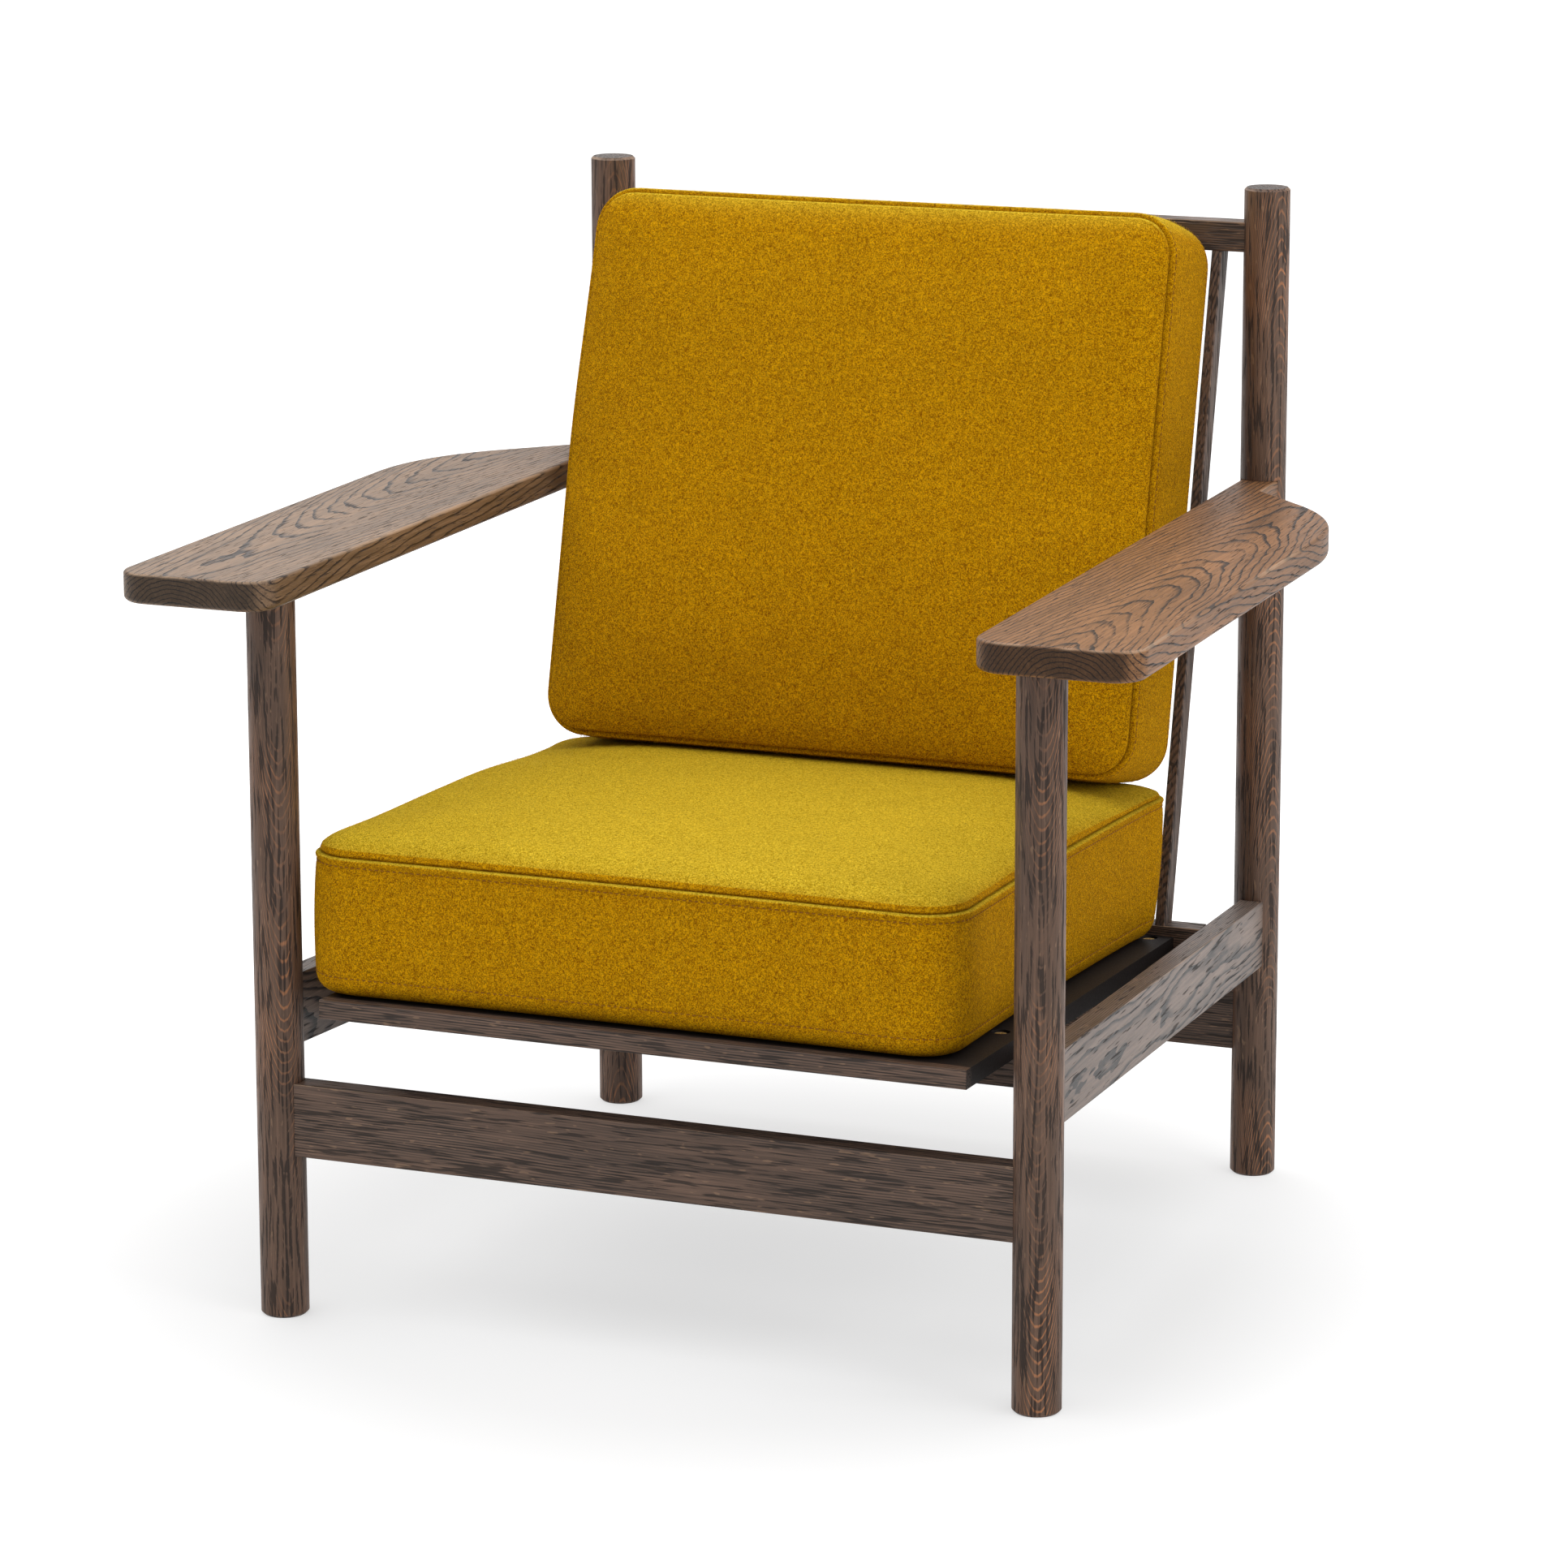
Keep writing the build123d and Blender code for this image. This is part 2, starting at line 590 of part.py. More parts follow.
def cushion_form(base, width, depth, thickness, roll, crown, skin, steps):
    """Loft a boxed cushion upwards from its base plane, drawn in by a skin on every side, and crown it."""
    foot = cushion_base_round
    top = thickness - skin
    rim = roll + crown_inset
    turns = [radians(quarter_turn * n / steps) for n in range(steps + 1)]
    rings = [(skin + foot * (1 - cos(turn)), foot * (1 - sin(turn))) for turn in turns]
    rings += [(top - roll * (1 - sin(turn)), roll * (1 - cos(turn))) for turn in turns]
    dome = cushion_crown(base.offset(top), width / 2 - rim, depth / 2 - rim, crown)
    with BuildPart() as form:
        for height, inset in rings:
            x = width / 2 - inset - skin
            y = depth / 2 - inset - skin
            corner = cushion_corner - inset - skin
            with BuildSketch(base.offset(height)):
                with BuildLine():
                    SagittaArc((corner - x, -y), (x - corner, -y), cushion_draw_in)
                    RadiusArc((x - corner, -y), (x, corner - y), -corner)
                    SagittaArc((x, corner - y), (x, y - corner), cushion_draw_in)
                    RadiusArc((x, y - corner), (x - corner, y), -corner)
                    SagittaArc((x - corner, y), (corner - x, y), cushion_draw_in)
                    RadiusArc((corner - x, y), (-x, y - corner), -corner)
                    SagittaArc((-x, y - corner), (-x, corner - y), cushion_draw_in)
                    RadiusArc((-x, corner - y), (corner - x, -y), -corner)
                make_face()
        loft(ruled=True)
        add(dome)
    return form.part


def seat_form(skin, steps):
    """The seat cushion's form on the deck."""
    size = seat_cushion_width, seat_cushion_depth, seat_cushion_thickness
    return cushion_form(seat_base, *size, seat_cushion_roll, seat_cushion_crown, skin, steps)


def back_form(bottom, skin, steps):
    """The back cushion's form on the slats, from a place up their front to its top."""
    height = back_cushion_top - bottom
    middle = back_foot + slat_run * (bottom + height / 2)
    face = Plane(origin=middle, x_dir=(-1, 0, 0), z_dir=(0, -cos(back_lean), sin(back_lean)))
    size = back_cushion_width, height, back_cushion_thickness
    return cushion_form(face.offset(rest_gap), *size, back_cushion_roll, back_cushion_crown, skin, steps)


# Seat cushion: a felt cover over a foam core, lying on the deck
seat_outside = seat_form(0, cover_edge_steps)
with BuildPart() as seat_cushion_cover:
    add(seat_outside)
    add(seat_form(felt_thickness, core_edge_steps), mode=Mode.SUBTRACT)
with BuildPart() as seat_cushion_foam:
    add(seat_form(felt_thickness + rest_gap, core_edge_steps))

# Back cushion: the same make, leaning on the slats and reaching down to the seat cushion
back_gap = back_form(back_cushion_start, 0, cover_edge_steps).distance_to(seat_outside)
back_bottom = back_cushion_start - back_gap + rest_gap
with BuildPart() as back_cushion_cover:
    add(back_form(back_bottom, 0, cover_edge_steps))
    add(back_form(back_bottom, felt_thickness, core_edge_steps), mode=Mode.SUBTRACT)
with BuildPart() as back_cushion_foam:
    add(back_form(back_bottom, felt_thickness + rest_gap, core_edge_steps))

save(front_leg_left, "front_leg_left")
save(front_leg_right, "front_leg_right")
save(rear_post_left, "rear_post_left")
save(rear_post_right, "rear_post_right")
save(armrest_left, "armrest_left")
save(armrest_right, "armrest_right")
save(armrest_dowels, "armrest_dowels")
save(side_rail_left, "side_rail_left")
save(side_rail_right, "side_rail_right")
save(front_stretcher, "front_stretcher")
save(rear_stretcher, "rear_stretcher")
save(front_cross_rail, "front_cross_rail")
save(slat_rail, "slat_rail")
save(back_top_rail, "back_top_rail")
for number, slat in enumerate(slats, 1):
    save(slat, "back_slat_" + str(number))
save(seat_deck, "seat_deck")
save(deck_lipping, "deck_lipping")
save(deck_ledger, "deck_ledger")
save(deck_screws, "deck_screws")
save(seat_cushion_cover, "seat_cushion_cover")
save(seat_cushion_foam, "seat_cushion_foam")
save(back_cushion_cover, "back_cushion_cover")
save(back_cushion_foam, "back_cushion_foam")
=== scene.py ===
"""Looks of the wooden armchair: smoked oak, felt cushions, floor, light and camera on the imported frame."""
import json
import math
from collections import namedtuple

import bpy
import numpy as np
from mathutils import Matrix, Vector
from mathutils.bvhtree import BVHTree


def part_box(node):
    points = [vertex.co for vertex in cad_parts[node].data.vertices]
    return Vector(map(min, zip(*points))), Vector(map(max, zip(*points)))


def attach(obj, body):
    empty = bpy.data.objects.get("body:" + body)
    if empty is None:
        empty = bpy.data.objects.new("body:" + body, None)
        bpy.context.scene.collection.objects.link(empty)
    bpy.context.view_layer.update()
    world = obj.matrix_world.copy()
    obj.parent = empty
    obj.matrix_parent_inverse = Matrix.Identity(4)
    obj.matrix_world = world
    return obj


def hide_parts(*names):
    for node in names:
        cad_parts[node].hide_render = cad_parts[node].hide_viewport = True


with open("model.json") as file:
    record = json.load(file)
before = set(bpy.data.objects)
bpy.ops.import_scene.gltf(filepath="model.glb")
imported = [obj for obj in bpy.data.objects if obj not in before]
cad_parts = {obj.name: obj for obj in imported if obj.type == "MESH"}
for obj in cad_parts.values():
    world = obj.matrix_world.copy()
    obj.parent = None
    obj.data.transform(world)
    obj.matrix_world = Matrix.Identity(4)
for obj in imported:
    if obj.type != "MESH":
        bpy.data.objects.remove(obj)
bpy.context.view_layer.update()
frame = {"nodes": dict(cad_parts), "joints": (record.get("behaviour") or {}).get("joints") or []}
nodes = frame["nodes"]

# Camera, as fitted to the photograph: metres, degrees, and pixels of its square picture
picture_size = 1932
camera_place = (1.5708, -3.9656, 1.4237)
camera_azimuth = 20.988
camera_pitch = 11.629
focal_pixels = 6718.4
sensor_width = 36.0
camera_shift = (-0.038, -0.12)
view_reach = 60.0

# Cushion meshes: cells along a panel's side, and steps down the roll, the border and the foot's round
panel_cells = 72
roll_steps, border_steps, foot_steps = 5, 13, 4

# Cushion form: the power that keeps the crown high until near the edge, how far the border bulges, how far
# below the seam it flares, the round at the foot, and the smallest inner corner as a share of the outer one
crown_power = 2.6
border_bulge = 0.0015
border_flare = 0.004
foot_round = 0.015
least_corner = 0.25

# A loose cushion changes shape between these shares of its half depth, or of its half width for droop_edge
corner_span = (0.8, 1.0)
sag_span = (0.1, 0.75)
droop_span = (0.0, 0.9)
droop_edge = (0.45, 1.0)
lean_span = (0.2, 1.0)
longer_span = (0.5, 1.0)
narrow_span = (0.0, 1.0)

# Gaps to the deck and under another cushion, and how deep that cushion may press
rest_gap = 0.0005
press_gap = 0.0012
press_reach = 0.03

# Seam and topstitching, measured in metres down the border from the seam, and the hem up from the foot
groove_depth, groove_width = 0.0026, 0.0009
ridge_height, ridge_place, ridge_width = 0.0022, 0.0034, 0.0022
# The width of the painted shade along the seam's groove
seam_shade_width = 0.0009
stitch_place, stitch_dip, stitch_dip_width = 0.0076, 0.0008, 0.0014
hem_height = 0.0165

# Finer rings round the seam and round the hem: from, to and step
seam_rings = (-0.006, 0.0125, 0.0008)
hem_rings = (-0.003, 0.0035, 0.001)

# Stitches: size, then places along one as shares of its length, with its thickness there and its lift off the
# felt as shares of the thread's radius
stitch_length, stitch_pitch, thread_radius = 0.0034, 0.0050, 0.00050
thread_sides = 6
stitch_shares = np.array([0.0, 0.18, 0.82, 1.0])
stitch_thickness = np.array([0.3, 1.0, 1.0, 0.3])
stitch_lift = np.array([-0.6, 0.6, 0.6, -0.6])

# Loose fibres standing off the felt. Each one bends once: how far it stands off and leans there, and how far
# its tip stands off, are shares of its length. None grows on faces that look away by more than fuzz_facing.
fuzz_count = 45000
fuzz_length = (0.0012, 0.0034)
fuzz_width = 0.00013
fuzz_bend_rise, fuzz_bend_lean, fuzz_bend_width = 0.45, 0.35, 0.8
fuzz_tip_rise = (0.1, 0.9)
fuzz_facing = -0.5
fuzz_seed = 7

# Swelling of the felt under pressure: frames, force, the most that a point moves, and passes of evening out
sim_frames = 20
sim_pressure = 4.0
sim_cap = 0.006
sim_smoothing = 60


# ---------------------------------------------------------------- shader helpers

class Tree:
    """A material's nodes, with short calls to add and link them."""

    def __init__(self, name):
        self.material = bpy.data.materials.new(name)
        self.material.use_nodes = True
        self.nodes = self.material.node_tree.nodes
        self.links = self.material.node_tree.links
        self.shader = self.nodes["Principled BSDF"]
        self.place = self.add("TexCoord").outputs["Object"]

    def add(self, kind, inputs=(), **settings):
        node = self.nodes.new("ShaderNode" + kind)
        for key, setting in settings.items():
            setattr(node, key, setting)
        for key, source in dict(inputs).items():
            self.put(node.inputs[key], source)
        return node

    def put(self, socket, source):
        if isinstance(source, bpy.types.NodeSocket):
            self.links.new(source, socket)
        else:
            socket.default_value = source

    def set(self, **inputs):
        """Set or link the shader's own sockets, with _ for the spaces in their names."""
        for key, source in inputs.items():
            self.put(self.shader.inputs[key.replace("_", " ")], source)

    def math(self, operation, *sources):
        return self.add("Math", dict(enumerate(sources)), operation=operation).outputs[0]

    def ramp_up(self, source, low, high):
        """A smooth step from 0 at low to 1 at high."""
        node = self.add("MapRange", {"Value": source, "From Min": low, "From Max": high},
                        interpolation_type="SMOOTHSTEP")
        return node.outputs[0]

    def band(self, source, rise, fall):
        """1 between two smooth steps, each given by where it starts and ends."""
        falling = self.math("SUBTRACT", 1.0, self.ramp_up(source, *fall))
        return self.math("MULTIPLY", self.ramp_up(source, *rise), falling)

    def mix(self, factor, first, second, blend_type="MIX"):
        node = self.add("Mix", data_type="RGBA", blend_type=blend_type)
        for socket, source in zip((node.inputs[0], node.inputs[6], node.inputs[7]), (factor, first, second)):
            self.put(socket, source)
        return node.outputs[2]

    def shade(self, colour, level):
        """A colour made lighter or darker by a level."""
        grey = self.add("CombineColor", {0: level, 1: level, 2: level}).outputs[0]
        return self.mix(1.0, colour, grey, "MULTIPLY")

    def noise(self, place, scale, detail=2.0, rough=0.5, twist=0.0):
        inputs = {"Vector": place, "Scale": scale, "Detail": detail, "Roughness": rough, "Distortion": twist}
        return self.add("TexNoise", inputs).outputs["Fac"]

    def stretch(self, place, scale):
        return self.add("VectorMath", {0: place, 1: scale}, operation="MULTIPLY").outputs[0]

    def bump(self, height, distance, strength):
        node = self.add("Bump", {"Height": height, "Distance": distance, "Strength": strength})
        self.set(Normal=node.outputs[0])


def srgb(red, green, blue):
    """Linear colour from 0 to 255 display values."""
    parts = [c / 255 for c in (red, green, blue)]
    return tuple(c / 12.92 if c <= 0.04045 else ((c + 0.055) / 1.055) ** 2.4 for c in parts) + (1.0,)


# ---------------------------------------------------------------- materials

# An oak's colours (its ground, the lines that its rings draw, its pores), the width of a ring, where in a
# ring its line rises and falls, how far the rings waver, how the pores keep to the lines and how rare they
# are, how many of them lie in a metre, in which patches the lines show, and its gloss
Oak = namedtuple("Oak", "ground line pore ring line_span waver pore_sift pore_scale patches gloss")
X, Y, Z = 0, 1, 2
upright, lengthwise, crosswise = (X, Y, Z), (X, Z, Y), (Y, Z, X)

leg_oak = Oak(ground=srgb(88, 67, 54), line=srgb(150, 100, 66), pore=srgb(28, 23, 21), ring=0.0013,
              line_span=(0.66, 0.82, 0.89, 1.0), waver=0.0032, pore_sift=(-0.06, 0.51), pore_scale=470.0,
              patches=(0.40, 0.66), gloss=0.27)
arm_oak = Oak(ground=srgb(116, 81, 52), line=srgb(40, 29, 23), pore=srgb(36, 27, 22), ring=0.0034,
              line_span=(0.66, 0.92, 0.98, 1.0), waver=0.0075, pore_sift=(0.10, 0.62), pore_scale=880.0,
              patches=(0.26, 0.46), gloss=0.18)
rail_oak = Oak(ground=srgb(104, 89, 80), line=srgb(34, 29, 28), pore=srgb(30, 25, 23), ring=0.0021,
               line_span=(0.50, 0.86, 0.97, 1.0), waver=0.0050, pore_sift=(0.06, 0.62), pore_scale=480.0,
               patches=(0.15, 0.40), gloss=0.30)
rift_oak = Oak(ground=srgb(90, 70, 58), line=srgb(52, 42, 36), pore=srgb(28, 23, 20), ring=0.0018,
               line_span=(0.40, 0.75, 0.95, 1.0), waver=0.0030, pore_sift=(0.05, 0.55), pore_scale=520.0,
               patches=(0.30, 0.60), gloss=0.30)

# Noise in all oak: cells in a metre across the grain, how many lie along it as a share of that, its detail
# and its roughness
waver_noise = (34.0, 0.25, 3.0, 0.6)
drift_noise = (5.0, 0.6, 1.0)
fibre_noise = (1700.0, 0.02, 2.0)
vein_noise = (420.0, 0.03, 2.0)
broad_noise = (42.0, 0.12, 3.0)
streak_noise = (24.0, 0.3, 2.0)
pore_stretch, pore_detail, pore_rim = 0.06, 1.0, 0.1
ray_turns, ray_depth, ray_run, ray_scale, ray_span = 9.0, 6.0, 5.0, 18.0, (0.66, 0.74)

# How much further the rings drift than they waver
drift_share = 4

# How much each noise lightens the oak and the level without it, how much the other marks show, and colours
broad_shade, fibre_shade, vein_shade, end_shade = (1.1, 0.45), (1.0, 0.50), (1.2, 0.40), (-0.68, 1.0)
ray_share, pore_share, wear_and_highlight_share = 0.22, 0.78, 0.45
# The rounded upper edges' paler colour is partly wear and partly a painted highlight
ray_colour, worn_and_highlight_colour = srgb(176, 140, 108), srgb(176, 148, 122)

# How much a side looks up where it is painted paler as wear and as a painted highlight (as a band), in which
# patches, and how much it looks along the grain where it is end grain, painted darker as stain and as painted
# shade
wear_and_highlight_facing, wear_and_highlight_patches, end_facing = ((0.2, 0.5), (0.86, 0.985)), (0.40, 0.65), (0.6, 0.95)

# Relief of oak and of felt: depth in metres, and strength
oak_relief, felt_relief = (0.0004, 0.6), (0.0030, 0.9)


def oak(name, look, order, heart, slope):
    """Smoked oak: order names the axes across the grain and the one along it, heart is the log's middle."""
    t = Tree(name)
    split = t.add("SeparateXYZ", {0: t.place})
    first, second, along = (split.outputs[axis] for axis in order)
    grain = t.add("CombineXYZ", {0: first, 1: second, 2: along}).outputs[0]

    def figure(scale, along_share, detail, rough=0.5):
        return t.noise(t.stretch(grain, (1, 1, along_share)), scale, detail, rough)

    # Growth rings: distance from the heart, drifting along the grain and wavering
    aside, deep = t.math("SUBTRACT", first, heart[0]), t.math("SUBTRACT", second, heart[1])
    spoke = t.add("CombineXYZ", {0: aside, 1: deep}).outputs[0]
    radius = t.add("VectorMath", {0: spoke}, operation="LENGTH").outputs["Value"]
    waver, drift = figure(*waver_noise), figure(*drift_noise)
    reach = t.math("MULTIPLY_ADD", along, slope, radius)
    reach = t.math("MULTIPLY_ADD", waver, look.waver, reach)
    reach = t.math("MULTIPLY_ADD", drift, drift_share * look.waver, reach)
    phase = t.math("FRACT", t.math("DIVIDE", reach, look.ring))
    line = t.band(phase, look.line_span[:2], look.line_span[2:])

    # Fine detail: pores as dark dashes along the grain, fibres, broad streaks, and pale rays from the heart
    pore_noise = figure(look.pore_scale, pore_stretch, pore_detail)
    lined, rare = look.pore_sift
    pores = t.ramp_up(t.math("MULTIPLY_ADD", line, lined, pore_noise), rare, rare + pore_rim)
    fibre, vein = figure(*fibre_noise), figure(*vein_noise)
    broad, streak = figure(*broad_noise), figure(*streak_noise)
    angle = t.add("CombineXYZ", {0: t.math("ARCTAN2", aside, deep), 1: radius, 2: along}).outputs[0]
    fan = t.stretch(angle, (ray_turns, ray_depth, ray_run))
    rays = t.ramp_up(t.noise(fan, ray_scale, 1.0), *ray_span)

    # Wear, stain and painted light: the rounded upper edges are painted paler, partly as wear and partly as
    # the top light's highlight; the end grain is painted darker, partly as its deeper stain and partly as
    # shade
    sides = t.add("SeparateXYZ", {0: t.add("NewGeometry").outputs["Normal"]})
    facing = sides.outputs["Z"]
    wear_and_highlight = t.math("MULTIPLY", t.band(facing, *wear_and_highlight_facing), t.ramp_up(broad, *wear_and_highlight_patches))
    end_stain_and_shade = t.ramp_up(t.math("ABSOLUTE", sides.outputs[order[2]]), *end_facing)

    colour = t.shade(look.ground, t.math("MULTIPLY_ADD", broad, *broad_shade))
    colour = t.mix(t.math("MULTIPLY", line, t.ramp_up(streak, *look.patches)), colour, look.line)
    colour = t.shade(colour, t.math("MULTIPLY_ADD", fibre, *fibre_shade))
    colour = t.shade(colour, t.math("MULTIPLY_ADD", vein, *vein_shade))
    colour = t.mix(t.math("MULTIPLY", rays, ray_share), colour, ray_colour)
    colour = t.mix(t.math("MULTIPLY", pores, pore_share), colour, look.pore)
    # Painted highlight and wear: the rounded upper edges are paler
    colour = t.mix(t.math("MULTIPLY", wear_and_highlight, wear_and_highlight_share), colour, worn_and_highlight_colour)
    # Painted shade and stain: the end grain is darker, partly for its deeper stain and partly for the shade
    # on it
    colour = t.shade(colour, t.math("MULTIPLY_ADD", end_stain_and_shade, *end_shade))
    rough = t.math("MULTIPLY_ADD", pores, 0.25, t.math("MULTIPLY_ADD", fibre, 0.2, 0.34))
    t.set(Base_Color=colour, Roughness=rough, Specular_IOR_Level=look.gloss)
    t.bump(t.math("MULTIPLY_ADD", pores, -1.0, t.math("MULTIPLY", fibre, 0.5)), *oak_relief)
    return t.material


# Felt's noise: cells in a metre, detail, roughness and twist
matted_noise = (520.0, 4.0, 0.75, 1.4)
speck_noise = (1150.0, 2.0, 0.6)
cloud_noise = (20.0, 3.0)
fleck_noise = (680.0, 1.0, 0.5, 1.2)
hair_noise = (700.0, 1.0, 0.5, 2.5)

# Felt's darker and lighter yellow, both again lighter and yellower as painted light where it faces up, and
# the colours of its flecks, its hairs and the painted shade in its seam
felt_yellows = srgb(143, 81, 0), srgb(238, 176, 4)
painted_light_yellows = srgb(198, 160, 16), srgb(255, 230, 72)
fleck_colour, hair_colour, seam_shade_colour = srgb(92, 54, 2), srgb(238, 194, 36), srgb(92, 48, 2)
painted_light_share, fleck_share, hair_share, seam_shade_share = 0.75, 0.6, 0.5, 0.38

# Where each of them starts and ends: in its noise, or for the painted light in how much the felt looks up
blend_span, fleck_span, hair_span, painted_light_span = (0.41, 0.59), (0.60, 0.67), (0.60, 0.66), (0.45, 0.98)
matted_part, speck_part = 0.65, 0.35
cloud_shade = (0.16, 0.92)


def felt(name):
    """Mustard wool felt: matted fibres of several yellows with dark flecks, painted lighter and yellower
    where it faces up as light from above, and painted darker in its seam as shade.
    """
    t = Tree(name)
    matted, speck = t.noise(t.place, *matted_noise), t.noise(t.place, *speck_noise)
    clouds = t.noise(t.place, *cloud_noise)
    flecks = t.ramp_up(t.noise(t.place, *fleck_noise), *fleck_span)
    hairs = t.ramp_up(t.noise(t.place, *hair_noise), *hair_span)
    both = t.math("MULTIPLY_ADD", matted, matted_part, t.math("MULTIPLY", speck, speck_part))
    blend = t.ramp_up(both, *blend_span)
    colour = t.mix(blend, *felt_yellows)
    # Painted light: felt that faces up is painted lighter and yellower, as the light from above makes it look
    facing = t.add("SeparateXYZ", {0: t.add("NewGeometry").outputs["Normal"]}).outputs["Z"]
    painted_light = t.math("MULTIPLY", t.ramp_up(facing, *painted_light_span), painted_light_share)
    colour = t.mix(painted_light, colour, t.mix(blend, *painted_light_yellows))
    colour = t.mix(t.math("MULTIPLY", flecks, fleck_share), colour, fleck_colour)
    colour = t.mix(t.math("MULTIPLY", hairs, hair_share), colour, hair_colour)
    colour = t.shade(colour, t.math("MULTIPLY_ADD", clouds, *cloud_shade))
    # Painted shade: the felt is darkened along the seam's groove, where shade falls
    crease = t.add("Attribute", attribute_name="crease").outputs["Fac"]
    colour = t.mix(t.math("MULTIPLY", crease, seam_shade_share), colour, seam_shade_colour)
    t.set(Base_Color=colour, Roughness=t.math("MULTIPLY_ADD", matted, 0.15, 0.84), Specular_IOR_Level=0.04,
          Sheen_Weight=0.10, Sheen_Roughness=0.5, Sheen_Tint=srgb(240, 196, 60))
    t.bump(t.math("MULTIPLY_ADD", speck, 0.5, matted), *felt_relief)
    return t.material


def thread(name):
    """Waxed brown sewing thread, its tone changing with the twist."""
    t = Tree(name)
    twist = t.noise(t.place, 1800.0, 1.0)
    t.set(Base_Color=t.mix(twist, srgb(104, 62, 4), srgb(166, 110, 16)),
          Roughness=t.math("MULTIPLY_ADD", twist, 0.2, 0.55), Specular_IOR_Level=0.2)
    t.bump(twist, 0.0002, 0.5)
    return t.material


def board(name):
    """Near-black stained deck board with a faint lengthwise figure."""
    t = Tree(name)
    figure = t.noise(t.stretch(t.place, (0.06, 1, 1)), 260.0, 3.0)
    dust = t.noise(t.place, 900.0, 1.0)
    t.set(Base_Color=t.mix(figure, srgb(13, 10, 10), srgb(28, 22, 21)),
          Roughness=t.math("MULTIPLY_ADD", dust, 0.2, 0.42), Specular_IOR_Level=0.3)
    t.bump(figure, 0.0002, 0.4)
    return t.material


def brass(name):
    """Turned brass with fine rings and a little tarnish."""
    t = Tree(name)
    lines = t.noise(t.stretch(t.place, (1, 0.2, 1)), 2600.0, 2.0)
    tarnish = t.noise(t.place, 420.0, 2.0)
    t.set(Base_Color=t.mix(tarnish, srgb(226, 198, 140), srgb(196, 160, 98)), Metallic=1.0,
          Roughness=t.math("MULTIPLY_ADD", lines, 0.2, 0.5))
    t.bump(lines, 0.0001, 0.3)
    return t.material


def dress(node_name, material):
    """Give a CAD node one material all over."""
    nodes[node_name].data.materials.clear()
    nodes[node_name].data.materials.append(material)


def heart_behind(low, high, azimuth, distance):
    """The heart of an upright piece's log, that far behind the side that faces an azimuth in degrees."""
    middle, turn = (low + high) / 2, math.radians(azimuth)
    return middle.x - distance * math.sin(turn), middle.y + distance * math.cos(turn)


# Where the logs' hearts lie: metres from a piece's middle or sides, or for slats and dowels a place across
# the grain in the CAD frame. The slopes say how far the rings drift outwards along the grain.
leg_heart = 0.25
arm_heart_aside, arm_heart_below, arm_slope = 0.012, 0.030, 0.07
rail_heart_inside, rail_slope = 0.10, 0.035
cross_heart_before, cross_heart_below, cross_slope = 0.12, 0.18, 0.012
slat_heart, dowel_heart, small_slope = (0.1, 0.6), (0.2, 0.4), 0.02

# Legs and posts: the side that each one's growth rings face, and how they run up it
leg_figure = {"front_leg_right": (20, 0.13), "front_leg_left": (38, 0.11),
              "rear_post_right": (56, -0.12), "rear_post_left": (25, -0.10)}
for name, (azimuth, slope) in leg_figure.items():
    heart = heart_behind(*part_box(name), azimuth, leg_heart)
    dress(name, oak("oak_" + name, leg_oak, upright, heart, slope))

arm_looks = {"left": arm_oak._replace(ground=srgb(110, 86, 64), gloss=0.24), "right": arm_oak}
for side, sign in (("left", -1), ("right", 1)):
    low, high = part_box("armrest_" + side)
    heart = ((low.x + high.x) / 2 + arm_heart_aside * sign, low.z - arm_heart_below)
    arm_material = oak("oak_armrest_" + side, arm_looks[side], lengthwise, heart, arm_slope * sign)
    dress("armrest_" + side, arm_material)
    low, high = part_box("side_rail_" + side)
    heart = (high.x - rail_heart_inside, (low.z + high.z) / 2)
    dress("side_rail_" + side, oak("oak_side_rail_" + side, rail_oak, lengthwise, heart, rail_slope))

for name in ("front_stretcher", "rear_stretcher", "front_cross_rail", "slat_rail", "back_top_rail",
             "deck_lipping", "deck_ledger"):
    low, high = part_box(name)
    heart = (low.y - cross_heart_before, low.z - cross_heart_below)
    dress(name, oak("oak_" + name, rift_oak, crosswise, heart, cross_slope))
slat_oak = oak("oak_back_slats", rift_oak, upright, slat_heart, small_slope)
for name in nodes:
    if name.startswith("back_slat_"):
        dress(name, slat_oak)
dress("armrest_dowels", oak("oak_dowels", rift_oak, crosswise, dowel_heart, small_slope))
dress("seat_deck", board("deck_board_stain"))
dress("deck_screws", brass("screw_brass"))
felt_material = felt("mustard_felt")
thread_material = thread("stitch_thread")


# ---------------------------------------------------------------- cushions

def coordinates(node):
    """A CAD node's vertices as an array."""
    flat = np.zeros(len(node.data.vertices) * 3, np.float32)
    node.data.vertices.foreach_get("co", flat)
    return flat.reshape(-1, 3).astype(float)


def smooth_step(value, low, high):
    share = np.clip((value - low) / (high - low), 0, 1)
    return share * share * (3 - 2 * share)


def unit(vectors):
    return vectors / np.linalg.norm(vectors, axis=-1, keepdims=True)


